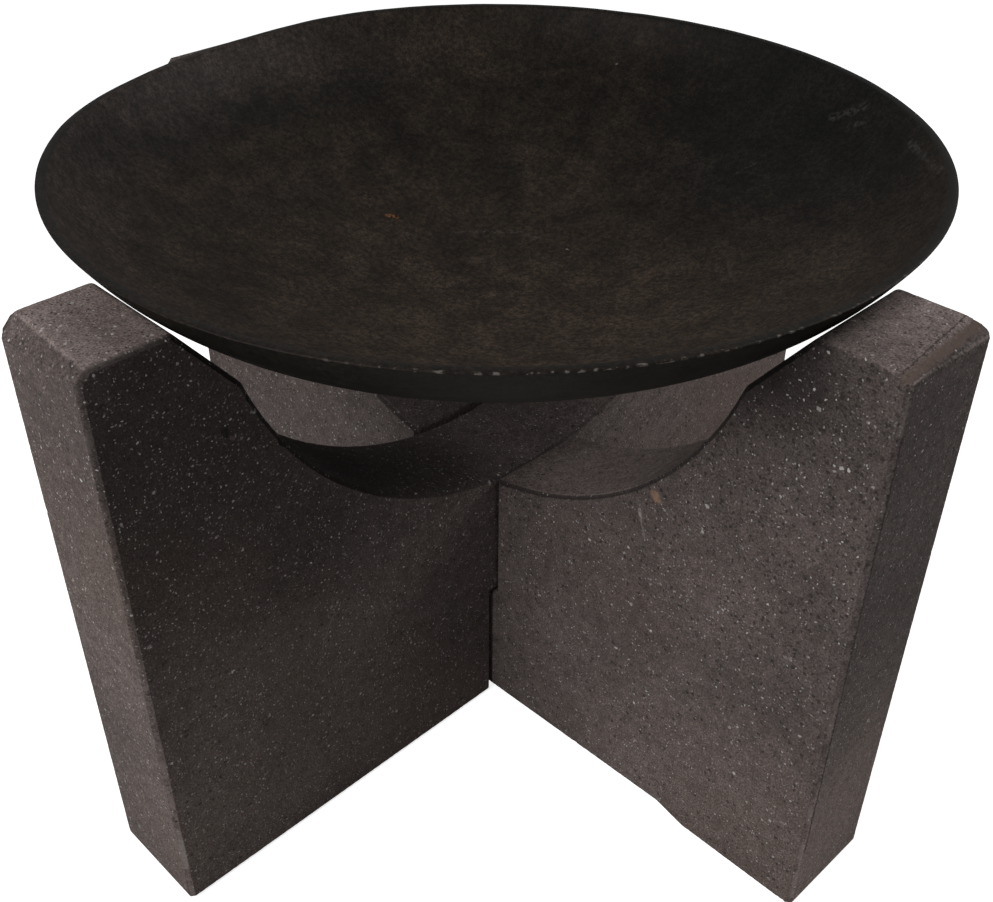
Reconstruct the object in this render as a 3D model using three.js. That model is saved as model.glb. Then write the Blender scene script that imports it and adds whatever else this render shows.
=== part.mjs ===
import * as THREE from 'three';

// A fire bowl on a cross stand: a shallow cast-iron bowl rests loose on two thick cast-stone slabs that cross
// in a half lap. Millimetres, +Z up. The origin is on the ground under the crossing. The lower slab lies along
// X and the upper slab along Y. Every outline is drawn in a plane of reach (level) and height.

// Slabs
const slabLength = 694;
const slabThickness = 86;
const hornHeight = 447;
const hornTopLength = 59.5;
const seatRun = 40;
const seatRise = 49.5;
const scoopFloorHeight = 219;
const endChamferLength = 8;
const endChamferDrop = 8;
const arrisChamfer = 3;
const footCornerRadius = 4;
const chamferCornerRadius = 4;
const seatTopRadius = 6.5;
const seatFootRadius = 12;

// Relief under the lower slab, between its feet
const footLength = 99;
const reliefHeight = 7;
const reliefMiddleHeight = 1;
const reliefRampLength = 26;
const reliefCornerRadius = 12;

// Half lap
const lapShare = 0.5;
const slotClearance = 2;
const lapGap = 0.3;
const slotMouthRadius = 4;

// Bowl
const rimOverhang = 13;
const rimWallAngle = THREE.MathUtils.degToRad(60);
const wallCurveRadius = 138;
const dishRadius = 535;
const bowlWall = 6;
const lipRadius = 1.2;
const bowlSeatGap = 0.3;

// Points along the curves
const filletSteps = 4;
const scoopSteps = 44;
const dishSteps = 8;
const wallCurveSteps = 8;
const arrisSteps = 1;
const bowlSegments = 96;

const halfLength = slabLength / 2;
const lapHeight = scoopFloorHeight * lapShare;
const slotHalfWidth = slabThickness / 2 + slotClearance;
const seatTop = new THREE.Vector2(halfLength - hornTopLength, hornHeight);
const seatFoot = new THREE.Vector2(seatTop.x - seatRun, seatTop.y - seatRise);

// The scoop is one arc through both seats' feet and the lowest point between them.
const scoopRise = seatFoot.y - scoopFloorHeight;
const scoopRadius = (seatFoot.x ** 2 + scoopRise ** 2) / (2 * scoopRise);
const scoopCentre = new THREE.Vector2(0, scoopFloorHeight + scoopRadius);

const castStone = { color: 0x4c4848, roughness: 0.85, metalness: 0 };
const castIron = { color: 0x2a2522, roughness: 0.6, metalness: 0.7 };

// Points from start to end round a centre, by the given turn or else the shorter way.
function arc(centre, start, end, steps, turn) {
  const from = start.clone().sub(centre);
  const to = end.clone().sub(centre);
  const sweep = turn ?? Math.atan2(from.cross(to), from.dot(to));
  const pivot = new THREE.Vector2();
  return Array.from({ length: steps + 1 }, (_, i) => {
    const point = from.clone().rotateAround(pivot, (sweep * i) / steps);
    return point.add(centre);
  });
}

// The centre of the circle of a round corner between two straight edges.
function cornerCentre(before, corner, after, radius) {
  const toBefore = before.clone().sub(corner).normalize();
  const toAfter = after.clone().sub(corner).normalize();
  const halfAngle = Math.acos(toBefore.dot(toAfter)) / 2;
  const bisector = toBefore.clone().add(toAfter).normalize();
  return bisector.multiplyScalar(radius / Math.sin(halfAngle)).add(corner);
}

function roundCorner(before, corner, after, radius) {
  const centre = cornerCentre(before, corner, after, radius);
  const toBefore = before.clone().sub(corner).normalize();
  const toAfter = after.clone().sub(corner).normalize();
  const setback = centre.clone().sub(corner).dot(toBefore);
  const start = toBefore.multiplyScalar(setback).add(corner);
  const end = toAfter.multiplyScalar(setback).add(corner);
  return arc(centre, start, end, filletSteps);
}

// The centre of a fillet that touches a straight edge and the outside of a circle. The edge is given by a
// point, its direction and the side that the fillet is on. Side -1 takes the first place along the edge where
// the fillet fits, and 1 the second.
function filletCentre(edgePoint, direction, normal, radius, circleCentre, circleRadius, side) {
  const start = edgePoint.clone().addScaledVector(normal, radius).sub(circleCentre);
  const along = start.dot(direction);
  const reach = Math.sqrt(along ** 2 - start.lengthSq() + (circleRadius + radius) ** 2);
  return start.addScaledVector(direction, side * reach - along).add(circleCentre);
}

function mirrored(points) {
  return points.map((point) => new THREE.Vector2(-point.x, point.y)).reverse();
}

// The right-hand horn, from the ground at its end up and over to the scoop.
function hornOutline() {
  const endFoot = new THREE.Vector2(halfLength, 0);
  const chamferFoot = new THREE.Vector2(halfLength, hornHeight - endChamferDrop);
  const chamferTop = new THREE.Vector2(halfLength - endChamferLength, hornHeight);
  const seatDown = seatFoot.clone().sub(seatTop).normalize();
  const seatSide = new THREE.Vector2(-seatDown.y, seatDown.x);
  const fillet = filletCentre(seatTop, seatDown, seatSide, seatFootRadius, scoopCentre, scoopRadius, -1);
  const onSeat = fillet.clone().addScaledVector(seatSide, -seatFootRadius);
  const onScoop = fillet.clone().sub(scoopCentre).setLength(scoopRadius).add(scoopCentre);
  return [
    ...roundCorner(new THREE.Vector2(), endFoot, chamferFoot, footCornerRadius),
    ...roundCorner(endFoot, chamferFoot, chamferTop, chamferCornerRadius),
    ...roundCorner(chamferFoot, chamferTop, seatTop, chamferCornerRadius),
    ...roundCorner(chamferTop, seatTop, seatFoot, seatTopRadius),
    ...arc(fillet, onSeat, onScoop, filletSteps),
  ];
}

// The whole scoop, from the right-hand horn to the left-hand one.
function wholeScoop(horn) {
  const start = horn.at(-1);
  const end = new THREE.Vector2(-start.x, start.y);
  const fromStraightDown = Math.atan2(start.x, scoopCentre.y - start.y);
  return arc(scoopCentre, start, end, scoopSteps, -2 * fromStraightDown).slice(1, -1);
}

// The right-hand half of a scoop that a slot opens into, down to the side of the slot's floor.
function slottedScoop(horn) {
  const wallTop = new THREE.Vector2(slotHalfWidth, scoopCentre.y);
  const down = new THREE.Vector2(0, -1);
  const outwards = new THREE.Vector2(1, 0);
  const fillet = filletCentre(wallTop, down, outwards, slotMouthRadius, scoopCentre, scoopRadius, 1);
  const onScoop = fillet.clone().sub(scoopCentre).setLength(scoopRadius).add(scoopCentre);
  const onWall = fillet.clone().addScaledVector(outwards, -slotMouthRadius);
  return [
    ...arc(scoopCentre, horn.at(-1), onScoop, scoopSteps / 2).slice(1, -1),
    ...arc(fillet, onScoop, onWall, filletSteps),
    new THREE.Vector2(slotHalfWidth, lapHeight),
  ];
}

// The right-hand half of a slot that opens at the ground, from its roof down to its mouth.
function groundSlot() {
  const roof = new THREE.Vector2(slotHalfWidth, lapHeight + lapGap);
  const mouth = new THREE.Vector2(slotHalfWidth, 0);
  const alongGround = new THREE.Vector2(halfLength, 0);
  return [roof, ...roundCorner(roof, mouth, alongGround, slotMouthRadius)];
}

// The right-hand half of the lower slab's underside, from the middle to the inner corner of its foot. It
// tapers from its full height at the foot to a little over the ground in the middle.
function footRelief() {
  const middle = new THREE.Vector2(0, reliefMiddleHeight);
  const footCorner = new THREE.Vector2(halfLength - footLength, 0);
  const rampTop = new THREE.Vector2(footCorner.x - reliefRampLength, reliefHeight);
  const alongGround = new THREE.Vector2(halfLength, 0);
  return [
    middle,
    ...roundCorner(middle, rampTop, footCorner, reliefCornerRadius),
    ...roundCorner(rampTop, footCorner, alongGround, reliefCornerRadius),
  ];
}

// A slab is its outline, extruded to its thickness with chamfered arrises, stood upright along X.
function slab(name, outline) {
  const geometry = new THREE.ExtrudeGeometry(new THREE.Shape(outline), {
    depth: slabThickness - 2 * arrisChamfer,
    bevelThickness: arrisChamfer,
    bevelSize: arrisChamfer,
    bevelOffset: -arrisChamfer,
    bevelSegments: arrisSteps,
  });
  geometry.translate(0, 0, arrisChamfer - slabThickness / 2);
  geometry.rotateX(Math.PI / 2);
  const mesh = new THREE.Mesh(geometry, new THREE.MeshStandardMaterial(castStone));
  mesh.name = name;
  return mesh;
}

function lowerSlab() {
  const horn = hornOutline();
  const rightHalf = [...footRelief(), ...horn, ...slottedScoop(horn)];
  return slab('lower_slab', [...rightHalf, ...mirrored(rightHalf.slice(1))]);
}

function upperSlab() {
  const horn = hornOutline();
  const slot = groundSlot();
  const outline = [...slot, ...horn, ...wholeScoop(horn), ...mirrored(horn), ...mirrored(slot)];
  const mesh = slab('upper_slab', outline);
  mesh.rotation.z = Math.PI / 2;
  return mesh;
}

// The centre of the curve of the bowl's wall. The wall bears on the round upper edges of the seats, so the
// centre lies the two radii and the gap away from the centre of such an edge.
function wallCurveCentre() {
  const chamferTop = new THREE.Vector2(halfLength - endChamferLength, hornHeight);
  const seatEdge = cornerCentre(chamferTop, seatTop, seatFoot, seatTopRadius);
  const reach = seatTop.x + rimOverhang - wallCurveRadius * Math.sin(rimWallAngle);
  const span = wallCurveRadius + bowlSeatGap + seatTopRadius;
  return new THREE.Vector2(reach, seatEdge.y + Math.sqrt(span ** 2 - (seatEdge.x - reach) ** 2));
}

// The bowl is a revolved wall of even thickness: a round dish that curves up into a steeper wall, cut off
// level at the lip. The same two centres serve the outer and the inner face.
function fireBowl() {
  const wallCentre = wallCurveCentre();
  const lipHeight = wallCentre.y - wallCurveRadius * Math.cos(rimWallAngle);
  const dishRise = Math.sqrt((dishRadius - wallCurveRadius) ** 2 - wallCentre.x ** 2);
  const dishCentre = new THREE.Vector2(0, wallCentre.y + dishRise);
  const handover = wallCentre.clone().sub(dishCentre).normalize();

  const face = (inset) => {
    const wallRadius = wallCurveRadius - inset;
    const faceRadius = dishRadius - inset;
    const lipReach = Math.sqrt(wallRadius ** 2 - (wallCentre.y - lipHeight) ** 2);
    const bottom = new THREE.Vector2(0, dishCentre.y - faceRadius);
    const onHandover = dishCentre.clone().addScaledVector(handover, faceRadius);
    const atLip = new THREE.Vector2(wallCentre.x + lipReach, lipHeight);
    return [
      ...arc(dishCentre, bottom, onHandover, dishSteps),
      ...arc(wallCentre, onHandover, atLip, wallCurveSteps).slice(1),
    ];
  };

  const outer = face(0);
  const inner = face(bowlWall);
  const outerLip = outer.pop();
  const innerLip = inner.pop();
  const profile = [
    ...outer,
    ...roundCorner(outer.at(-1), outerLip, innerLip, lipRadius),
    ...roundCorner(outerLip, innerLip, inner.at(-1), lipRadius),
    ...inner.reverse(),
  ];
  const geometry = new THREE.LatheGeometry(profile, bowlSegments);
  geometry.rotateX(Math.PI / 2);
  const mesh = new THREE.Mesh(geometry, new THREE.MeshStandardMaterial(castIron));
  mesh.name = 'fire_bowl';
  return mesh;
}

const model = new THREE.Group();
model.add(lowerSlab(), upperSlab(), fireBowl());

export default model;
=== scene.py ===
import bmesh
import bpy
import math
from mathutils import Matrix, Vector


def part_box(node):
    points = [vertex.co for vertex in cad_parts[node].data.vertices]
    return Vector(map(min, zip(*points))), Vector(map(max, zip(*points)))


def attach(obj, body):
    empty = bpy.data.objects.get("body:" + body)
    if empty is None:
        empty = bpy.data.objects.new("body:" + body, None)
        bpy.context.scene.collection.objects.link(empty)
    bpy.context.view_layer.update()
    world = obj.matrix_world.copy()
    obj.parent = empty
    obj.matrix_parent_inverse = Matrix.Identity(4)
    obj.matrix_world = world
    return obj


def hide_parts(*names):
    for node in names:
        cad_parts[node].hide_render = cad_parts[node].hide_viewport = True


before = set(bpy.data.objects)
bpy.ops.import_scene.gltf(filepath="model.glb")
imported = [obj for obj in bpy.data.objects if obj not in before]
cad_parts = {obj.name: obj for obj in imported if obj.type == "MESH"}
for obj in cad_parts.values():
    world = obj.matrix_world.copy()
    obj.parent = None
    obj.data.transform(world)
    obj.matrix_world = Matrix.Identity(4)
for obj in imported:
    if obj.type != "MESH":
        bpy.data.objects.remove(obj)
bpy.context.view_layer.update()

# Lower slab
# One cast-stone slab with a scooped top, relieved underneath between its two feet. It is dark concrete with
# pale and dark grains, cast in a mould with chamfered arrises, which are a little chipped and worn pale.

half_thickness = 0.043
arris_chamfer = 0.003
ring_spacing = 0.0017
end_corner_zone = 0.010
sharp_turn = 0.93
corner_room = 1.25
corner_neighbours = 12
slab_wear = {"Chip Size": 0.014, "Chip Depth": 0.0022, "Seed": 3.0}
lower_end = {"Arm": 0.347, "Left Run": 0.0073, "Left Drop": 0.0025, "Right Run": 0.0155, "Right Drop": 0.0070}
horn_height = 0.447
stone_dark = (0.064, 0.0505, 0.0466, 1.0)
stone_light = (0.132, 0.105, 0.098, 1.0)
stone_brown = (0.115, 0.082, 0.066, 1.0)
grain_white = (0.54, 0.52, 0.51, 1.0)
grain_dark = (0.018, 0.015, 0.014, 1.0)
worn_stone = (0.20, 0.165, 0.155, 1.0)
arris_dark = (0.030, 0.025, 0.0235, 1.0)
lower_grains = {
    "few": 0.26, "many": 0.72, "centre": (0.31, -0.043, 0.37), "reach": 0.24, "white": 1.0, "line": 0.75,
}
white_grains = [(470.0, 0.42, 0.27, 0.10), (230.0, 0.32, 0.20, 0.14), (95.0, 0.32, 0.11, 0.2)]
# Each zone: the faces it lies on, its centre, its core and its reach, and how much it brightens the stone.
# The zones follow the photograph's brightness, so they hold some of its light and shade besides stains.
lower_light_shade_and_stains = [
    # Painted shade on the face under the bowl by the seat and the horn, and painted light on the scoop, the
    # end's foot, towards the floor and on the horn top.
    ("all", (0.262, -0.043, 0.43), 0.010, 0.085, 0.40),
    ("all", (0.33, -0.043, 0.40), 0.02, 0.09, 0.85),
    ("all", (0.29, -0.043, 0.03), 0.05, 0.16, 1.25),
    ("edge", (0.13, 0.0, 0.26), 0.05, 0.12, 2.1),
    ("edge", (0.347, 0.0, 0.05), 0.05, 0.20, 1.6),
    ("all", (0.20, -0.043, 0.15), 0.10, 0.22, 1.12),
    ("edge", (0.347, 0.0, 0.33), 0.08, 0.16, 0.93),
    ("top", (0.318, 0.0, 0.447), 0.06, 0.10, 2.1),
]
lower_marks = [
    ((0.1926, -0.043, 0.2896), (0.1946, -0.043, 0.2876), 0.0020, 0.0050, (0.30, 0.19, 0.13, 1.0)),
    ((0.1816, -0.043, 0.2710), (0.1826, -0.043, 0.2660), 0.0006, 0.0020, (0.34, 0.30, 0.29, 1.0)),
    ((0.1830, -0.043, 0.2640), (0.1875, -0.043, 0.2500), 0.0003, 0.0014, (0.20, 0.17, 0.16, 1.0)),
    # A painted shadow line down the end, beside its upright arris on the near side.
    ((0.347, -0.0395, 0.410), (0.347, -0.0385, 0.062), 0.0005, 0.0012, (0.022, 0.016, 0.015, 1.0)),
    ((0.3385, -0.0400, 0.447), (0.3310, 0.0395, 0.447), 0.0003, 0.0009, (0.050, 0.036, 0.032, 1.0)),
    ((0.3425, -0.0400, 0.446), (0.3385, 0.0395, 0.444), 0.0016, 0.0050, (0.125, 0.088, 0.072, 1.0)),
    ((0.3465, -0.0400, 0.4445), (0.3465, 0.0395, 0.4405), 0.0003, 0.0016, (0.24, 0.20, 0.185, 1.0)),
]


def add(tree, kind, inputs=None, **settings):
    """A new node. An input is given by its name or number, as a value or as the socket that feeds it."""
    made = tree.nodes.new(kind)
    for key, value in settings.items():
        setattr(made, key, value)
    for key, value in (inputs or {}).items():
        if isinstance(value, bpy.types.NodeSocket):
            tree.links.new(value, made.inputs[key])
        else:
            made.inputs[key].default_value = value
    return made


def calc(tree, operation, *values, clamp=False):
    inputs = dict(enumerate(values))
    return add(tree, "ShaderNodeMath", inputs, operation=operation, use_clamp=clamp).outputs[0]


def vector_calc(tree, operation, *values, scale=None):
    made = add(tree, "ShaderNodeVectorMath", dict(enumerate(values)), operation=operation)
    if isinstance(scale, bpy.types.NodeSocket):
        tree.links.new(scale, made.inputs["Scale"])
    elif scale is not None:
        made.inputs["Scale"].default_value = scale
    return made.outputs["Value" if operation in ("DOT_PRODUCT", "LENGTH") else "Vector"]


def between(tree, value, low, high, to_low=0.0, to_high=1.0):
    """The value's place between low and high, eased, and held at the ends."""
    inputs = dict(enumerate((value, low, high, to_low, to_high)))
    return add(tree, "ShaderNodeMapRange", inputs, interpolation_type="SMOOTHSTEP").outputs[0]


def blend(tree, share, first, second, how="MIX"):
    made = add(tree, "ShaderNodeMix", {0: share, 6: first, 7: second}, data_type="RGBA", blend_type=how)
    return made.outputs[2]


def noise(tree, place, scale, detail=3.0, roughness=0.5):
    inputs = {"Vector": place, "Scale": scale, "Detail": detail, "Roughness": roughness}
    return add(tree, "ShaderNodeTexNoise", inputs).outputs["Fac"]


def spot(tree, place, centre, reach, core=0.0):
    """1 at the centre, easing to 0 at the reach."""
    away = vector_calc(tree, "LENGTH", vector_calc(tree, "SUBTRACT", place, centre))
    return between(tree, away, core, reach, 1.0, 0.0)


def streak(tree, place, start, end, core, reach):
    """1 on a straight line between two points, easing to 0 at the reach."""
    along = Vector(end) - Vector(start)
    offset = vector_calc(tree, "SUBTRACT", place, start)
    reached = vector_calc(tree, "DOT_PRODUCT", offset, tuple(along))
    share = calc(tree, "DIVIDE", reached, along.length_squared, clamp=True)
    nearest = vector_calc(tree, "SCALE", tuple(along), scale=share)
    away = vector_calc(tree, "LENGTH", vector_calc(tree, "SUBTRACT", offset, nearest))
    return between(tree, away, core, reach, 1.0, 0.0)


def attribute(tree, name, kind):
    """A value that the mesh carries, read in Geometry Nodes."""
    return add(tree, "GeometryNodeInputNamedAttribute", {"Name": name}, data_type=kind).outputs["Attribute"]


def wear_tree():
    """Chips a slab's arrises, and cuts its end's upper corner with a chamfer that widens to the far side."""
    tree = bpy.data.node_groups.new("worn_casting", "GeometryNodeTree")
    face = tree.interface
    face.new_socket("Geometry", in_out="INPUT", socket_type="NodeSocketGeometry")
    for name in (*slab_wear, *lower_end):
        face.new_socket(name, in_out="INPUT", socket_type="NodeSocketFloat")
    face.new_socket("Material", in_out="INPUT", socket_type="NodeSocketMaterial")
    face.new_socket("Geometry", in_out="OUTPUT", socket_type="NodeSocketGeometry")
    given = add(tree, "NodeGroupInput").outputs
    place = add(tree, "GeometryNodeInputPosition").outputs[0]
    chip_scale = calc(tree, "DIVIDE", 1.0, given["Chip Size"])
    rough = {"Vector": place, "W": given["Seed"], "Scale": chip_scale, "Detail": 4.0, "Roughness": 0.6}
    lumps = add(tree, "ShaderNodeTexNoise", rough, noise_dimensions="4D").outputs[0]
    ragged = {"Vector": place, "W": given["Seed"], "Scale": 330.0, "Detail": 2.0}
    fine = add(tree, "ShaderNodeTexNoise", ragged, noise_dimensions="4D").outputs[0]
    small = between(tree, fine, 0.35, 0.75)
    chips = calc(tree, "MULTIPLY_ADD", small, 0.16, between(tree, lumps, 0.60, 0.80))
    depth = calc(tree, "MULTIPLY", chips, given["Chip Depth"])
    chipped = vector_calc(tree, "SCALE", attribute(tree, "chip_way", "FLOAT_VECTOR"), scale=depth)
    moved = add(tree, "GeometryNodeSetPosition", {"Geometry": given["Geometry"], "Offset": chipped})

    ways = {name: attribute(tree, name, "FLOAT_VECTOR") for name in ("reach_way", "across_way")}
    reach = vector_calc(tree, "DOT_PRODUCT", place, ways["reach_way"])
    across = vector_calc(tree, "DOT_PRODUCT", place, ways["across_way"])
    height = add(tree, "ShaderNodeSeparateXYZ", {0: place}).outputs[2]
    aside = {0: across, 1: -half_thickness, 2: half_thickness}
    runs = {**aside, 3: given["Left Run"], 4: given["Right Run"]}
    drops = {**aside, 3: given["Left Drop"], 4: given["Right Drop"]}
    run = add(tree, "ShaderNodeMapRange", runs).outputs[0]
    drop = add(tree, "ShaderNodeMapRange", drops).outputs[0]
    past = calc(tree, "SUBTRACT", reach, calc(tree, "SUBTRACT", given["Arm"], run))
    past_run = calc(tree, "DIVIDE", past, run)
    below = calc(tree, "DIVIDE", calc(tree, "SUBTRACT", horn_height, height), drop)
    excess = calc(tree, "MAXIMUM", calc(tree, "SUBTRACT", past_run, below), 0.0)
    back = calc(tree, "MULTIPLY", calc(tree, "MULTIPLY", excess, run), -0.5)
    down = calc(tree, "MULTIPLY", calc(tree, "MULTIPLY", excess, drop), -0.5)
    sideways = vector_calc(tree, "SCALE", ways["reach_way"], scale=back)
    cut = vector_calc(tree, "ADD", sideways, add(tree, "ShaderNodeCombineXYZ", {2: down}).outputs[0])
    ended = add(tree, "GeometryNodeSetPosition", {"Geometry": moved.outputs[0], "Offset": cut})
    real = add(tree, "GeometryNodeRealizeInstances", {"Geometry": ended.outputs[0]})
    coated = {"Geometry": real.outputs[0], "Material": given["Material"]}
    finished = add(tree, "GeometryNodeSetMaterial", coated)
    add(tree, "NodeGroupOutput", {"Geometry": finished.outputs[0]})
    return tree


def set_inputs(modifier, values):
    for item in modifier.node_group.interface.items_tree:
        if item.in_out == "INPUT" and item.name in values:
            modifier[item.identifier] = values[item.name]


def made_plain(shape, name):
    """The shape with its modifiers worked in, as a plain mesh object at the origin."""
    seen = bpy.context.evaluated_depsgraph_get()
    mesh = bpy.data.meshes.new_from_object(shape.evaluated_get(seen), depsgraph=seen)
    mesh.name = name
    piece = bpy.data.objects.new(name, mesh)
    bpy.context.scene.collection.objects.link(piece)
    bpy.data.objects.remove(shape)
    return piece


def slab_outline(node, reach_way, across_way):
    """The slab's outline, as points of reach and height, in order round it."""
    solid = bmesh.new()
    solid.from_mesh(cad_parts[node].data)
    bmesh.ops.remove_doubles(solid, verts=solid.verts, dist=1e-6)
    ring_place = arris_chamfer - half_thickness
    ring = {v for v in solid.verts if abs(v.co.dot(across_way) - ring_place) < 1e-5}
    beside = {v: [e.other_vert(v) for e in v.link_edges if e.other_vert(v) in ring] for v in ring}
    first = min(ring, key=lambda v: (v.co.z, v.co.dot(reach_way)))
    walk = [first, beside[first][0]]
    while walk[-1] is not first:
        walk.append(next(v for v in beside[walk[-1]] if v is not walk[-2]))
    points = [Vector((v.co.dot(reach_way), v.co.z)) for v in walk[:-1]]
    solid.free()
    area = sum(a.x * b.y - b.x * a.y for a, b in zip(points, points[1:] + points[:1]))
    return points if area > 0 else points[::-1]


def squared_end(points, end):
    """The outline with the chamfer of its near end at the smallest size that it has across the slab."""
    run = min(end["Left Run"], end["Right Run"])
    drop = min(end["Left Drop"], end["Right Drop"])
    squared = []
    for point in points:
        past = point.x - end["Arm"] + run
        cut_off = past > 0.0 and point.y > horn_height - end_corner_zone and point.x < end["Arm"] - 1e-5
        squared.append(Vector((point.x, max(point.y, horn_height - past * drop / run))) if cut_off else point)
    return squared


def spaced(points):
    """The outline with its long sides split evenly, and without points that would fold at a corner."""
    even = []
    for a, b in zip(points, points[1:] + points[:1]):
        count = max(1, round((b - a).length / ring_spacing))
        even += [a.lerp(b, i / count) for i in range(count)]
    count = len(even)
    ways = [(even[(i + 1) % count] - even[i]).normalized() for i in range(count)]
    tight = {}
    for i in range(count):
        bend = ways[i - 1].angle_signed(ways[i]) if ways[i - 1].dot(ways[i]) < 0.999 else 0.0
        if ways[i - 1].x * ways[i].y - ways[i - 1].y * ways[i].x > 0.0:
            tight[i] = corner_room * arris_chamfer * math.tan(abs(bend) / 2)
    crowded = set()
    for i, room in tight.items():
        beside = range(i - corner_neighbours, i + corner_neighbours + 1)
        near = [j % count for j in beside if (even[j % count] - even[i]).length < room]
        crowded |= {j for j in near if tight.get(j, 0.0) < room}
    return [point for i, point in enumerate(even) if i not in crowded]


# Each ring of a slab's edge: its depth inside the outline and its distance from the side face, both in
# chamfers, how far a chip moves it both ways, how far it is on the chamfer, and how far on the slab's edge.
edge_rings = [
    (1.0, 0.0, 1.0, 0.0, 0.0, 0.0),
    (0.66, 0.34, 0.9, 0.6, 1.0, 0.0),
    (0.34, 0.66, 0.6, 0.9, 1.0, 0.3),
    (0.0, 1.0, 0.0, 1.0, 0.0, 1.0),
    (0.0, 1.6, 0.0, 0.7, 0.0, 1.0),
    (0.0, 2.6, 0.0, 0.3, 0.0, 1.0),
    (0.0, 4.2, 0.0, 0.0, 0.0, 1.0),
    (0.0, 6.2, 0.0, 0.0, 0.0, 1.0),
    (0.0, 8.6, 0.0, 0.0, 0.0, 1.0),
    (0.0, 11.4, 0.0, 0.0, 0.0, 1.0),
    (0.0, half_thickness / arris_chamfer, 0.0, 0.0, 0.0, 1.0),
]


def worn_slab(node, name, reach_way, end, material, seed):
    """The slab swept round its outline, ring by ring, with two flat sides, and worn."""
    up = Vector((0.0, 0.0, 1.0))
    across_way = up.cross(reach_way)
    points = spaced(squared_end(slab_outline(node, reach_way, across_way), end))
    count = len(points)
    normals = []
    turns = []
    for i, point in enumerate(points):
        before = (point - points[i - 1]).normalized()
        after = (points[(i + 1) % count] - point).normalized()
        middle = (Vector((before.y, -before.x)) + Vector((after.y, -after.x))).normalized()
        normals.append(middle / max(0.5, middle.dot(Vector((after.y, -after.x)))))
        turns.append(before.dot(after))
    rings = [(-1, ring) for ring in edge_rings] + [(1, ring) for ring in edge_rings[-2::-1]]
    verts, ways, skins = [], [], []
    for side, (inset, aside, chip_in, chip_across, on_chamfer, on_edge) in rings:
        across = side * (half_thickness - aside * arris_chamfer)
        for point, normal in zip(points, normals):
            place = point - normal * inset * arris_chamfer
            outwards = reach_way * normal.x + up * normal.y
            verts.append(reach_way * place.x + up * place.y + across_way * across)
            ways.append(-chip_in * outwards - side * chip_across * across_way)
            skins.append((on_chamfer, on_edge, 0.0))
    faces = [tuple(range(count)), tuple(range(len(verts) - 1, len(verts) - 1 - count, -1))]
    for k in range(len(rings) - 1):
        for i in range(count):
            j = (i + 1) % count
            faces.append((k * count + i, (k + 1) * count + i, (k + 1) * count + j, k * count + j))
    mesh = bpy.data.meshes.new(name + "_swept")
    mesh.from_pydata(verts, [], faces)
    mesh.polygons.foreach_set("use_smooth", [True] * len(faces))
    creases = {0, 3, len(rings) - 4, len(rings) - 1}
    for edge in mesh.edges:
        a, b = edge.vertices
        along = a // count == b // count
        cornered = not along and turns[a % count] < sharp_turn
        edge.use_edge_sharp = cornered or (along and a // count in creases)
    for key, values in (("chip_way", ways), ("skin", skins)):
        kept = mesh.attributes.new(key, "FLOAT_VECTOR", "POINT")
        kept.data.foreach_set("vector", [c for value in values for c in value])
    for key, way in (("reach_way", reach_way), ("across_way", across_way)):
        kept = mesh.attributes.new(key, "FLOAT_VECTOR", "POINT")
        kept.data.foreach_set("vector", list(way) * len(verts))
    shape = bpy.data.objects.new(name + "_shape", mesh)
    bpy.context.scene.collection.objects.link(shape)
    wear = shape.modifiers.new("wear", "NODES")
    wear.node_group = casting_wear
    set_inputs(wear, {**slab_wear, **end, "Seed": seed, "Material": material})
    return made_plain(shape, name)


def grains(tree, bent, per_metre, share, size):
    """How much of each place a grain covers, and the grain's own chance of being bright."""
    cells = add(tree, "ShaderNodeTexVoronoi", {"Vector": bent, "Scale": per_metre}, feature="F1")
    chance = add(tree, "ShaderNodeSeparateColor", {0: cells.outputs["Color"]}).outputs
    chosen = calc(tree, "LESS_THAN", chance[0], share)
    reach = calc(tree, "MULTIPLY_ADD", chance[1], size * 0.8, size * 0.6)
    edge = calc(tree, "SUBTRACT", reach, cells.outputs["Distance"])
    return calc(tree, "MULTIPLY", between(tree, edge, 0.0, size * 0.4), chosen), chance[2]


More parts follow.
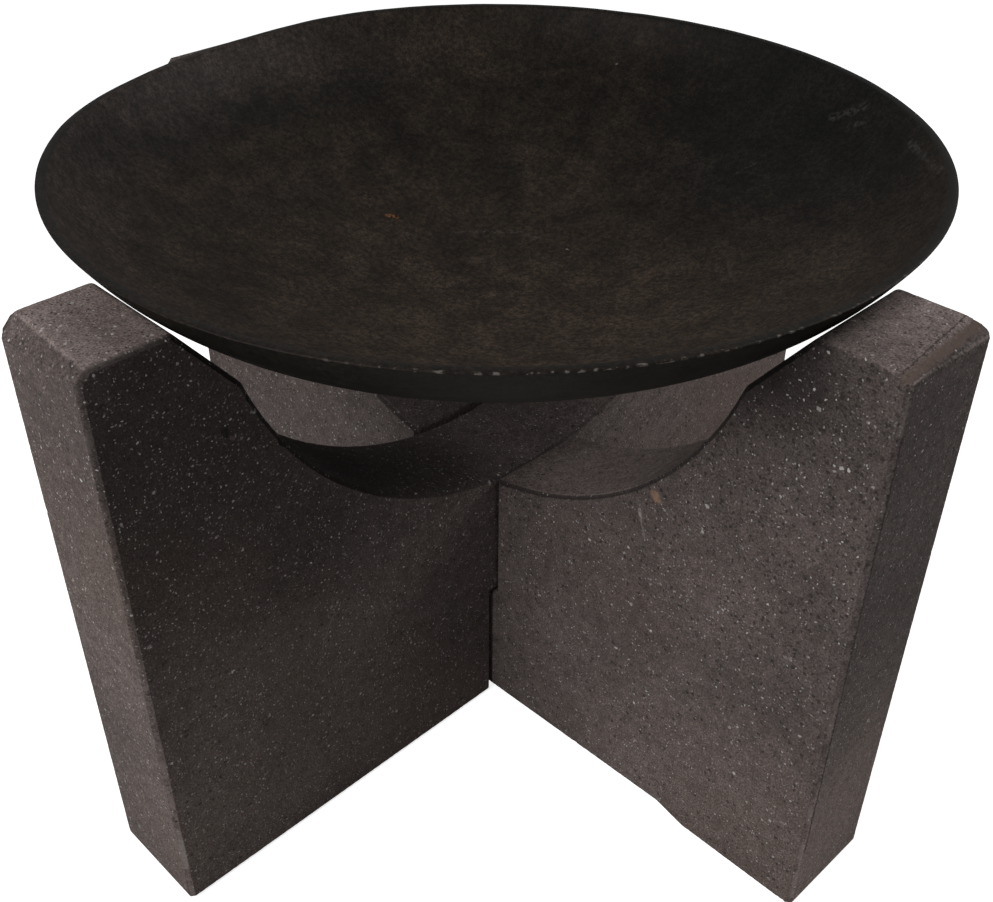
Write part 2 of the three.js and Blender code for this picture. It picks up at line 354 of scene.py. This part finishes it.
def cast_stone(name, kinds, zones, marks, brown_share):
    material = bpy.data.materials.new(name)
    material.use_nodes = True
    tree = material.node_tree
    tree.nodes.clear()
    place = add(tree, "ShaderNodeTexCoord").outputs["Object"]
    warp = add(tree, "ShaderNodeTexNoise", {"Vector": place, "Scale": 420.0, "Detail": 1.0}).outputs["Color"]
    bend = vector_calc(tree, "SCALE", vector_calc(tree, "SUBTRACT", warp, (0.5, 0.5, 0.5)), scale=0.0030)
    bent = vector_calc(tree, "ADD", place, bend)
    carried = add(tree, "ShaderNodeAttribute", attribute_name="skin").outputs["Vector"]
    on_chamfer, on_edge, _ = add(tree, "ShaderNodeSeparateXYZ", {0: carried}).outputs

    cloud = noise(tree, place, 8.0, 4.0, 0.6)
    mottle = noise(tree, place, 130.0, 5.0, 0.75)
    sand = noise(tree, place, 700.0, 2.0, 0.7)
    tone = calc(tree, "MULTIPLY_ADD", mottle, 0.7, calc(tree, "MULTIPLY", cloud, 0.3))
    colour = blend(tree, between(tree, tone, 0.32, 0.68), stone_dark, stone_light)
    browned = calc(tree, "MULTIPLY", between(tree, noise(tree, place, 5.0), 0.48, 0.72), brown_share)
    colour = blend(tree, browned, colour, stone_brown)
    gritty = between(tree, sand, 0.28, 0.72, 0.52, 1.48)
    grit = add(tree, "ShaderNodeCombineColor", {0: gritty, 1: gritty, 2: gritty}).outputs[0]
    colour = blend(tree, 1.0, colour, grit, "MULTIPLY")

    height = add(tree, "ShaderNodeSeparateXYZ", {0: place}).outputs[2]
    wide = between(tree, on_chamfer, 0.05, 0.7)
    in_scoop = between(tree, height, 0.436, 0.445, 1.0, 0.0)
    lined = calc(tree, "MULTIPLY", calc(tree, "MULTIPLY", wide, in_scoop), kinds["line"])
    colour = blend(tree, calc(tree, "MULTIPLY", lined, scooped(tree, place)), colour, arris_dark)
    rubbed = calc(tree, "MULTIPLY", wide, between(tree, noise(tree, place, 60.0), 0.48, 0.62, 0.0, 0.45))
    rubbed = calc(tree, "MULTIPLY", rubbed, calc(tree, "SUBTRACT", 1.0, scooped(tree, place)))
    colour = blend(tree, rubbed, colour, worn_stone)
    # Each zone multiplies the colour: mostly painted light and painted shade, with some stains among them.
    # The top zones brighten only the horn tops, as painted light.
    for where, centre, core, reach, factor in zones:
        covered = spot(tree, place, centre, reach, core)
        if where != "all":
            covered = calc(tree, "MULTIPLY", covered, on_edge)
        if where == "top":
            covered = calc(tree, "MULTIPLY", covered, between(tree, height, 0.4445, 0.4460))
        colour = blend(tree, covered, colour, (factor, factor, factor, 1.0), "MULTIPLY")

    crowd = spot(tree, place, kinds["centre"], kinds["reach"], 0.06)
    share = calc(tree, "MULTIPLY_ADD", crowd, kinds["many"] - kinds["few"], kinds["few"])
    apart = vector_calc(tree, "ADD", bent, (7.0, 3.0, 5.0))
    pitted, _ = grains(tree, apart, 215.0, share, 0.27)
    fine, _ = grains(tree, apart, 430.0, calc(tree, "MULTIPLY_ADD", share, 0.5, 0.2), 0.28)
    dark = calc(tree, "MAXIMUM", pitted, fine)
    colour = blend(tree, calc(tree, "MULTIPLY", dark, 0.68), colour, grain_dark)
    for per_metre, most, size, least in white_grains:
        cover, chance = grains(tree, bent, per_metre, most * kinds["white"], size)
        strength = calc(tree, "MULTIPLY_ADD", calc(tree, "POWER", chance, 2.4), 1.0 - least, least)
        colour = blend(tree, calc(tree, "MULTIPLY", cover, strength), colour, grain_white)
    broken = between(tree, noise(tree, place, 480.0), 0.34, 0.54, 0.45, 1.0)
    for start, end, core, reach, shade in marks:
        marked = calc(tree, "MULTIPLY", streak(tree, bent, start, end, core, reach), broken)
        colour = blend(tree, marked, colour, shade)

    rise = calc(tree, "MULTIPLY_ADD", sand, 0.6, calc(tree, "MULTIPLY", mottle, 0.8))
    rise = calc(tree, "MULTIPLY_ADD", dark, -0.8, rise)
    bump = add(tree, "ShaderNodeBump", {"Height": rise, "Strength": 0.5, "Distance": 0.0006})
    surface = {"Base Color": colour, "Roughness": 0.85, "Specular IOR Level": 0.2, "Normal": bump.outputs[0]}
    stone = add(tree, "ShaderNodeBsdfPrincipled", surface)
    add(tree, "ShaderNodeOutputMaterial", {"Surface": stone.outputs[0]})
    return material


def scooped(tree, place):
    """1 along the scoop and its seats, and 0 at the slab's ends and underneath."""
    apart = add(tree, "ShaderNodeSeparateXYZ", {0: place}).outputs
    level = add(tree, "ShaderNodeCombineXYZ", {0: apart[0], 1: apart[1]}).outputs[0]
    inside = between(tree, vector_calc(tree, "LENGTH", level), 0.28, 0.31, 1.0, 0.0)
    return calc(tree, "MULTIPLY", inside, between(tree, apart[2], 0.19, 0.21))


casting_wear = wear_tree()
lower_stone = cast_stone("lower_cast_stone", lower_grains, lower_light_shade_and_stains, lower_marks, 0.25)
lower_slab = worn_slab("lower_slab", "lower_slab_worn", Vector((1.0, 0.0, 0.0)), lower_end, lower_stone, 3.0)
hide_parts("lower_slab")
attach(lower_slab, "lower_slab")

# Upper slab
# A second casting of the same stone, slotted from below, dropped over the lower slab and held there by its
# weight alone. It carries fewer dark grains. Its face under the bowl is painted shade, partly a darker
# surface.

upper_end = {"Arm": 0.347, "Left Run": 0.0125, "Left Drop": 0.0125, "Right Run": 0.0080, "Right Drop": 0.0080}
upper_grains = {
    "few": 0.16, "many": 0.16, "centre": (0.0, 0.0, 0.0), "reach": 0.1, "white": 1.15, "line": 0.6,
}
upper_light_shade_and_stains = [
    # Painted shade on the near face and in the scoop under the bowl, and painted light on the far face, the
    # near end, the horn top and towards the floor.
    ("all", (0.043, -0.30, 0.41), 0.03, 0.26, 0.40),
    ("all", (0.043, -0.20, 0.25), 0.0, 0.10, 0.62),
    ("all", (0.043, -0.085, 0.08), 0.0, 0.12, 0.72),
    ("all", (0.043, -0.33, 0.03), 0.03, 0.16, 1.25),
    ("all", (0.043, 0.22, 0.22), 0.12, 0.20, 1.9),
    ("edge", (0.0, -0.11, 0.25), 0.05, 0.12, 0.50),
    ("edge", (0.0, -0.347, 0.36), 0.10, 0.40, 1.28),
    ("edge", (0.0, -0.347, 0.44), 0.04, 0.32, 1.8),
    ("edge", (0.0, 0.0, 0.22), 0.02, 0.08, 1.15),
    ("top", (0.0, -0.318, 0.447), 0.05, 0.08, 1.95),
]
upper_marks = [
    ((0.043, -0.0463, 0.2224), (0.043, -0.0470, 0.2215), 0.0010, 0.0024, (0.36, 0.34, 0.33, 1.0)),
    ((0.043, -0.2650, 0.3725), (0.043, -0.2635, 0.3700), 0.0010, 0.0036, (0.008, 0.007, 0.006, 1.0)),
    ((0.043, -0.2603, 0.3657), (0.043, -0.2595, 0.3650), 0.0006, 0.0020, (0.13, 0.10, 0.09, 1.0)),
    ((0.043, -0.1954, 0.1965), (0.043, -0.2140, 0.1590), 0.0001, 0.0010, (0.17, 0.15, 0.14, 1.0)),
    ((0.0415, -0.3455, 0.0656), (0.0415, -0.3455, 0.0361), 0.0012, 0.0030, (0.24, 0.21, 0.19, 1.0)),
]

upper_stone = cast_stone("upper_cast_stone", upper_grains, upper_light_shade_and_stains, upper_marks, 0.35)
upper_slab = worn_slab("upper_slab", "upper_slab_worn", Vector((0.0, -1.0, 0.0)), upper_end, upper_stone, 8.0)
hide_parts("upper_slab")
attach(upper_slab, "upper_slab")

# Fire bowl
# A shallow dish of cast iron, of even wall, that rests loose on the four seats. It is turned from one
# profile: a wide dish that curves up into a steeper wall, cut off level at the lip. The lip is worn, a little
# wavy, and pressed in and down on the far left.

rim_reach = 0.3005
rim_wall_angle = math.radians(60)
wall_curve_radius = 0.138
dish_radius = 0.535
bowl_wall = 0.006
lip_radius = 0.0012
lip_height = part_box("fire_bowl")[1][2]
bowl_turning = {"Segments": 360, "Waviness": 0.0012, "Flat Drop": 0.0026, "Flat Pull": 0.0036, "Seed": 5.0}
flattened_rim = (-0.294, -0.050, 0.466)
flattened_reach = 0.175
flattened_core = 0.03
flattened_band = 0.060
wavy_band = 0.012
dish_steps = 64
wall_steps = 26
iron_dark = (0.0072, 0.0052, 0.0037, 1.0)
iron_brown = (0.0225, 0.0164, 0.0118, 1.0)
iron_warm = (0.0390, 0.0275, 0.0198, 1.0)
iron_pink = (0.0440, 0.0335, 0.0295, 1.0)
iron_black = (0.0048, 0.0050, 0.0046, 1.0)
iron_bare_and_glint = (0.2400, 0.2150, 0.1950, 1.0)
iron_scuff = (0.0700, 0.0640, 0.0600, 1.0)
iron_rust = (0.1900, 0.0800, 0.0300, 1.0)
dark_streaks = [
    ((-0.2082, -0.1921, 0.4519), (-0.2474, -0.0276, 0.4220), 0.006, 0.030, 0.45),
    ((-0.2474, -0.0276, 0.4220), (-0.2348, 0.0940, 0.4246), 0.006, 0.028, 0.45),
    ((-0.1524, -0.1551, 0.4063), (-0.1640, -0.0295, 0.3864), 0.006, 0.026, 0.35),
    ((-0.1089, -0.2110, 0.4158), (-0.0108, -0.2110, 0.4035), 0.004, 0.018, 0.35),
    ((-0.0969, 0.1137, 0.3800), (-0.0960, 0.1150, 0.3800), 0.004, 0.016, 0.40),
    ((0.0005, -0.0360, 0.3650), (0.0104, 0.0115, 0.3640), 0.001, 0.007, 0.40),
    ((0.0750, -0.0050, 0.3660), (0.0750, -0.0040, 0.3660), 0.002, 0.007, 0.45),
    ((0.0626, 0.0460, 0.3670), (0.0719, 0.0742, 0.3690), 0.001, 0.006, 0.40),
    ((0.0713, -0.0962, 0.3740), (0.1063, -0.0894, 0.3760), 0.001, 0.006, 0.40),
]
pale_streaks = [
    ((-0.0686, 0.0218, 0.3644), (-0.0396, 0.0576, 0.3641), 0.0003, 0.0015, iron_scuff, 0.7),
    ((-0.0553, 0.0375, 0.3640), (-0.0338, 0.0593, 0.3640), 0.0003, 0.0018, iron_scuff, 0.7),
    ((0.0317, 0.1485, 0.3818), (0.0717, 0.2087, 0.4077), 0.0003, 0.0014, iron_scuff, 0.45),
    ((0.1257, 0.2557, 0.4538), (0.1040, 0.2528, 0.4410), 0.0006, 0.0060, iron_scuff, 0.55),
    ((0.1246, 0.2439, 0.4415), (0.1350, 0.2480, 0.4480), 0.0006, 0.0050, iron_scuff, 0.50),
    ((0.1884, 0.2156, 0.4556), (0.2342, 0.1731, 0.4626), 0.0006, 0.0045, iron_scuff, 0.50),
    ((-0.1136, -0.0045, 0.3719), (-0.1080, -0.0010, 0.3712), 0.0010, 0.0032, iron_rust, 0.85),
    ((-0.1033, 0.2436, 0.4333), (-0.1030, 0.2438, 0.4333), 0.0006, 0.0016, iron_bare_and_glint, 0.8),
    ((0.0103, 0.0646, 0.3636), (0.0105, 0.0648, 0.3636), 0.0006, 0.0016, iron_bare_and_glint, 0.8),
    ((0.1355, 0.0620, 0.3809), (0.1420, 0.0700, 0.3830), 0.0006, 0.0040, iron_warm, 0.7),
]


def arc(centre, radius, start, end, steps):
    """Points round a centre. Angles are from straight down, positive outwards."""
    angles = [start + (end - start) * i / steps for i in range(steps + 1)]
    return [(centre[0] + radius * math.sin(a), centre[1] - radius * math.cos(a)) for a in angles]


def bowl_profile():
    """The bowl's section on one side, from the bottom's inside round the lip to the bottom's outside."""
    reach = rim_reach - wall_curve_radius * math.sin(rim_wall_angle)
    wall_centre = (reach, lip_height + wall_curve_radius * math.cos(rim_wall_angle))
    dish_rise = math.sqrt((dish_radius - wall_curve_radius) ** 2 - reach ** 2)
    dish_centre = (0.0, wall_centre[1] + dish_rise)
    handover = math.atan2(reach, dish_rise)
    inner_radius = wall_curve_radius - bowl_wall
    inner_angle = math.acos((wall_centre[1] - lip_height) / inner_radius)
    inner_rim = wall_centre[0] + inner_radius * math.sin(inner_angle)
    outer_end = rim_wall_angle - lip_radius / wall_curve_radius
    inner_end = inner_angle - lip_radius / inner_radius
    outer = arc(dish_centre, dish_radius, 0.0, handover, dish_steps)
    outer += arc(wall_centre, wall_curve_radius, handover, outer_end, wall_steps)[1:]
    inner = arc(dish_centre, dish_radius - bowl_wall, 0.0, handover, dish_steps)
    inner += arc(wall_centre, inner_radius, handover, inner_end, wall_steps)[1:]
    lip = [
        (inner_rim, lip_height - 0.30 * lip_radius),
        (inner_rim + 0.5 * lip_radius, lip_height),
        ((inner_rim + rim_reach) / 2, lip_height),
        (rim_reach - 0.7 * lip_radius, lip_height),
        (rim_reach - 0.25 * lip_radius, lip_height - 0.30 * lip_radius),
    ]
    return inner + lip + outer[::-1]


def revolve_tree():
    """Turns a profile round the upright axis, then makes its lip wavy and flattens it on one side."""
    tree = bpy.data.node_groups.new("turned_bowl", "GeometryNodeTree")
    face = tree.interface
    face.new_socket("Geometry", in_out="INPUT", socket_type="NodeSocketGeometry")
    face.new_socket("Segments", in_out="INPUT", socket_type="NodeSocketInt")
    for name in ("Rim Radius", "Rim Height", "Waviness", "Flat Drop", "Flat Pull", "Seed"):
        face.new_socket(name, in_out="INPUT", socket_type="NodeSocketFloat")
    face.new_socket("Material", in_out="INPUT", socket_type="NodeSocketMaterial")
    face.new_socket("Geometry", in_out="OUTPUT", socket_type="NodeSocketGeometry")
    given = add(tree, "NodeGroupInput").outputs
    circle = {"Resolution": given["Segments"], "Radius": given["Rim Radius"]}
    rail = add(tree, "GeometryNodeCurvePrimitiveCircle", circle, mode="RADIUS")
    section = add(tree, "GeometryNodeMeshToCurve", {0: given["Geometry"]})
    turned = add(tree, "GeometryNodeCurveToMesh", {0: rail.outputs[0], 1: section.outputs[0]})
    merged = add(tree, "GeometryNodeMergeByDistance", {"Geometry": turned.outputs[0], "Distance": 1e-6})
    place = add(tree, "GeometryNodeInputPosition").outputs[0]
    apart = add(tree, "ShaderNodeSeparateXYZ", {0: place}).outputs
    wavy_from = calc(tree, "SUBTRACT", given["Rim Height"], wavy_band)
    near_rim = between(tree, apart[2], wavy_from, given["Rim Height"])
    wave = {"Vector": place, "W": given["Seed"], "Scale": 22.0, "Detail": 2.0, "Roughness": 0.5}
    waves = add(tree, "ShaderNodeTexNoise", wave, noise_dimensions="4D").outputs[0]
    drop = calc(tree, "MULTIPLY", calc(tree, "MULTIPLY", waves, given["Waviness"]), near_rim)
    flat_from = calc(tree, "SUBTRACT", given["Rim Height"], flattened_band)
    low_rim = between(tree, apart[2], flat_from, given["Rim Height"])
    flattened = spot(tree, place, flattened_rim, flattened_reach, flattened_core)
    flat = calc(tree, "MULTIPLY", flattened, low_rim)
    drop = calc(tree, "MULTIPLY_ADD", flat, given["Flat Drop"], drop)
    level = add(tree, "ShaderNodeCombineXYZ", {0: apart[0], 1: apart[1]}).outputs[0]
    pull = calc(tree, "MULTIPLY", calc(tree, "MULTIPLY", flat, given["Flat Pull"]), -1.0)
    inwards = vector_calc(tree, "SCALE", vector_calc(tree, "NORMALIZE", level), scale=pull)
    fall = add(tree, "ShaderNodeCombineXYZ", {2: calc(tree, "MULTIPLY", drop, -1.0)}).outputs[0]
    offset = vector_calc(tree, "ADD", inwards, fall)
    moved = add(tree, "GeometryNodeSetPosition", {"Geometry": merged.outputs[0], "Offset": offset})
    shaded = add(tree, "GeometryNodeSetShadeSmooth", {"Geometry": moved.outputs[0]})
    real = add(tree, "GeometryNodeRealizeInstances", {"Geometry": shaded.outputs[0]})
    coated = {"Geometry": real.outputs[0], "Material": given["Material"]}
    add(tree, "NodeGroupOutput", {"Geometry": add(tree, "GeometryNodeSetMaterial", coated).outputs[0]})
    return tree


def warp_of(tree, place, scale):
    """A random way at each place, of up to half a unit along each axis."""
    drift = add(tree, "ShaderNodeTexNoise", {"Vector": place, "Scale": scale, "Detail": 2.0}).outputs["Color"]
    return vector_calc(tree, "SUBTRACT", drift, (0.5, 0.5, 0.5))


def cast_iron(name):
    material = bpy.data.materials.new(name)
    material.use_nodes = True
    tree = material.node_tree
    tree.nodes.clear()
    place = add(tree, "ShaderNodeTexCoord").outputs["Object"]
    apart = add(tree, "ShaderNodeSeparateXYZ", {0: place}).outputs
    flat = add(tree, "ShaderNodeCombineXYZ", {0: apart[0], 1: apart[1]}).outputs[0]
    reach = vector_calc(tree, "LENGTH", flat)
    turn = calc(tree, "ARCTAN2", apart[1], apart[0])
    across = calc(tree, "MULTIPLY", reach, 46.0)
    round_the_dish = add(tree, "ShaderNodeCombineXYZ", {0: across, 1: turn}).outputs[0]

    cloud = noise(tree, place, 9.0, 5.0, 0.62)
    mottle = noise(tree, place, 90.0, 6.0, 0.72)
    rings = noise(tree, round_the_dish, 1.1, 3.0, 0.55)
    grain = noise(tree, place, 640.0, 2.0, 0.7)
    tone = calc(tree, "MULTIPLY_ADD", mottle, 0.45, calc(tree, "MULTIPLY", cloud, 0.55))
    colour = blend(tree, between(tree, tone, 0.36, 0.64), iron_dark, iron_brown)
    # Painted light inside the dish: the warm patches at the front and the near right, and the blotched pink
    # on the left near the lip. The black patch high on the far right wall is painted shade.
    warm = spot(tree, place, (0.08, -0.18, 0.41), 0.36, 0.08)
    warmed = calc(tree, "MULTIPLY", warm, between(tree, tone, 0.3, 0.7, 0.3, 0.9))
    colour = blend(tree, warmed, colour, iron_warm)
    front = spot(tree, place, (0.19, -0.03, 0.42), 0.26, 0.08)
    colour = blend(tree, calc(tree, "MULTIPLY", front, 0.55), colour, iron_warm)
    edge = between(tree, reach, 0.225, 0.290)
    left = spot(tree, place, (-0.18, -0.16, 0.46), 0.36, 0.12)
    blotched = between(tree, mottle, 0.35, 0.6, 0.5, 1.0)
    pink = calc(tree, "MULTIPLY", calc(tree, "MULTIPLY", edge, left), blotched)
    colour = blend(tree, calc(tree, "MULTIPLY", pink, 0.8), colour, iron_pink)
    black = calc(tree, "MULTIPLY", spot(tree, place, (0.09, 0.25, 0.447), 0.19, 0.04), 0.8)
    colour = blend(tree, black, colour, iron_black)
    smudging = vector_calc(tree, "SCALE", warp_of(tree, place, 30.0), scale=0.03)
    smudged = vector_calc(tree, "ADD", place, smudging)
    for start, end, core, spread, share in dark_streaks:
        dark = calc(tree, "MULTIPLY", streak(tree, smudged, start, end, core, spread), share)
        colour = blend(tree, dark, colour, iron_black)
    small = noise(tree, place, 260.0, 3.0)
    large = noise(tree, place, 38.0, 4.0)
    pattern = ((rings, 0.90, 1.08), (grain, 0.52, 1.50), (small, 0.60, 1.42), (large, 0.75, 1.27))
    for texture, darkest, palest in pattern:
        shade = between(tree, texture, 0.32, 0.68, darkest, palest)
        level = add(tree, "ShaderNodeCombineColor", {0: shade, 1: shade, 2: shade}).outputs[0]
        colour = blend(tree, 1.0, colour, level, "MULTIPLY")
    fraying = vector_calc(tree, "SCALE", warp_of(tree, place, 300.0), scale=0.004)
    ragged = vector_calc(tree, "ADD", place, fraying)
    broken = between(tree, noise(tree, place, 380.0), 0.42, 0.60)
    for start, end, core, spread, shade, share in pale_streaks:
        strength = calc(tree, "MULTIPLY", broken, share)
        pale = calc(tree, "MULTIPLY", streak(tree, ragged, start, end, core, spread), strength)
        colour = blend(tree, pale, colour, shade)

    facing = add(tree, "ShaderNodeTexCoord").outputs["Normal"]
    faced = add(tree, "ShaderNodeSeparateXYZ", {0: facing}).outputs[2]
    outside = between(tree, faced, -0.25, -0.05, 1.0, 0.0)
    colour = blend(tree, outside, colour, (0.20, 0.23, 0.22, 1.0), "MULTIPLY")
    lip = calc(tree, "MULTIPLY", between(tree, reach, 0.2928, 0.2942), between(tree, faced, 0.0, 0.3))
    colour = blend(tree, calc(tree, "MULTIPLY", lip, 0.7), colour, iron_black)
    # Pale dashes along the lip's outer corner on the near right: partly bare worn iron, partly a painted
    # highlight.
    dotted = between(tree, noise(tree, place, 240.0, 4.0), 0.54, 0.66)
    dashes = calc(tree, "MULTIPLY", dotted, between(tree, reach, 0.2982, 0.2998))
    worn_and_glinting_side = spot(tree, place, (0.26, -0.13, 0.466), 0.22, 0.10)
    on_lip = calc(tree, "MULTIPLY", worn_and_glinting_side, between(tree, apart[2], 0.4635, 0.4645))
    bare_and_glint = calc(tree, "MULTIPLY", calc(tree, "MULTIPLY", dashes, on_lip), 0.6)
    colour = blend(tree, bare_and_glint, colour, iron_bare_and_glint)

    gloss = calc(tree, "MULTIPLY_ADD", outside, -0.055, 0.12)
    surface = {"Base Color": colour, "Roughness": 0.55, "Metallic": 0.0, "Specular IOR Level": gloss}
    iron = add(tree, "ShaderNodeBsdfPrincipled", surface)
    rise = calc(tree, "MULTIPLY_ADD", grain, 0.5, mottle)
    bump = add(tree, "ShaderNodeBump", {"Height": rise, "Strength": 0.3, "Distance": 0.0006})
    tree.links.new(bump.outputs[0], iron.inputs["Normal"])
    add(tree, "ShaderNodeOutputMaterial", {"Surface": iron.outputs[0]})
    return material


def turned_bowl(name, material):
    profile = bowl_profile()
    rim_radius = max(reach for reach, height in profile)
    mesh = bpy.data.meshes.new(name + "_profile")
    points = [(reach - rim_radius, -height, 0.0) for reach, height in profile]
    mesh.from_pydata(points, [(i, i + 1) for i in range(len(points) - 1)], [])
    shape = bpy.data.objects.new(name + "_shape", mesh)
    bpy.context.scene.collection.objects.link(shape)
    turned = shape.modifiers.new("turned", "NODES")
    turned.node_group = revolve_tree()
    rim = {"Rim Radius": rim_radius, "Rim Height": lip_height}
    set_inputs(turned, {**bowl_turning, **rim, "Material": material})
    return made_plain(shape, name)


bowl_iron = cast_iron("bowl_cast_iron")
fire_bowl = turned_bowl("fire_bowl_turned", bowl_iron)
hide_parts("fire_bowl")
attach(fire_bowl, "fire_bowl")

# Floor
# A pale sheet that the stand is set down on. Seen directly it is white, and it keeps the shadow.

floor_size = 12.0
floor_colour = (0.82, 0.81, 0.80, 1.0)
floor_glow = 0.85
gloss_share = 0.3


def seen_share(tree):
    """1 where the eye sees a surface straight or through glass, and less in a gloss."""
    path = add(tree, "ShaderNodeLightPath").outputs
    gloss = calc(tree, "MULTIPLY", path["Is Glossy Ray"], gloss_share)
    seen = calc(tree, "MAXIMUM", path["Is Camera Ray"], gloss)
    return calc(tree, "MAXIMUM", seen, path["Is Transmission Ray"])


floor_mesh = bpy.data.meshes.new("floor")
half = floor_size / 2
corners = [(-half, -half, 0), (half, -half, 0), (half, half, 0), (-half, half, 0)]
floor_mesh.from_pydata(corners, [], [(0, 1, 2, 3)])
floor = bpy.data.objects.new("floor", floor_mesh)
bpy.context.scene.collection.objects.link(floor)
paper = bpy.data.materials.new("floor_paper")
paper.use_nodes = True
tree = paper.node_tree
tree.nodes.clear()
matt = add(tree, "ShaderNodeBsdfDiffuse", {"Color": floor_colour})
white = {"Color": (1.0, 1.0, 1.0, 1.0), "Strength": calc(tree, "MULTIPLY", seen_share(tree), floor_glow)}
glow = add(tree, "ShaderNodeEmission", white)
both = add(tree, "ShaderNodeAddShader", {0: matt.outputs[0], 1: glow.outputs[0]})
add(tree, "ShaderNodeOutputMaterial", {"Surface": both.outputs[0]})
floor_mesh.materials.append(paper)

# Light
# A large soft box high at the front left, where the upper slab's near end points, and a weaker one at the
# back right. The room is white where it is seen and dim otherwise.

room_light = 0.02

world = bpy.data.worlds.new("studio")
world.use_nodes = True
bpy.context.scene.world = world
tree = world.node_tree
tree.nodes.clear()
strength = add(tree, "ShaderNodeMapRange", {0: seen_share(tree), 3: room_light, 4: 1.0}).outputs[0]
room = add(tree, "ShaderNodeBackground", {"Color": (1.0, 1.0, 1.0, 1.0), "Strength": strength})
add(tree, "ShaderNodeOutputWorld", {"Surface": room.outputs[0]})


def soft_box(name, place, aim, size, power):
    lamp = bpy.data.lights.new(name, "AREA")
    lamp.shape = "SQUARE"
    lamp.size = size
    lamp.energy = power
    box = bpy.data.objects.new(name, lamp)
    box.location = place
    box.rotation_euler = (Vector(aim) - Vector(place)).to_track_quat("-Z", "Y").to_euler()
    bpy.context.scene.collection.objects.link(box)


soft_box("key_box", (0.0, -2.15, 1.90), (0.0, 0.0, 0.25), 1.4, 47.0)
soft_box("back_box", (1.07, 1.86, 1.90), (0.0, 0.0, 0.25), 1.4, 27.0)

# Camera
# It stands between the two near ends of the slabs and looks down on the crossing, as the photograph's does.

photo_width = 993
photo_height = 902
focal_pixels = 1277.7
centre_pixel = (490.5, 480.2)
camera_place = (0.590534, -0.583947, 0.797088)
heading = math.radians(45) + 0.0096
down = 0.6422
roll = 0.0031

lens = bpy.data.cameras.new("camera")
lens.sensor_width = 36.0
lens.lens = focal_pixels * lens.sensor_width / photo_width
lens.shift_x = (photo_width / 2 - centre_pixel[0]) / photo_width
lens.shift_y = (centre_pixel[1] - photo_height / 2) / photo_width
lens.clip_start = 0.01
camera = bpy.data.objects.new("camera", lens)
tilted = Matrix.Rotation(math.pi / 2 - down, 4, "X") @ Matrix.Rotation(roll, 4, "Z")
camera.matrix_world = Matrix.Translation(camera_place) @ Matrix.Rotation(heading, 4, "Z") @ tilted
bpy.context.scene.collection.objects.link(camera)
bpy.context.scene.camera = camera
bpy.context.scene.view_settings.view_transform = "Standard"
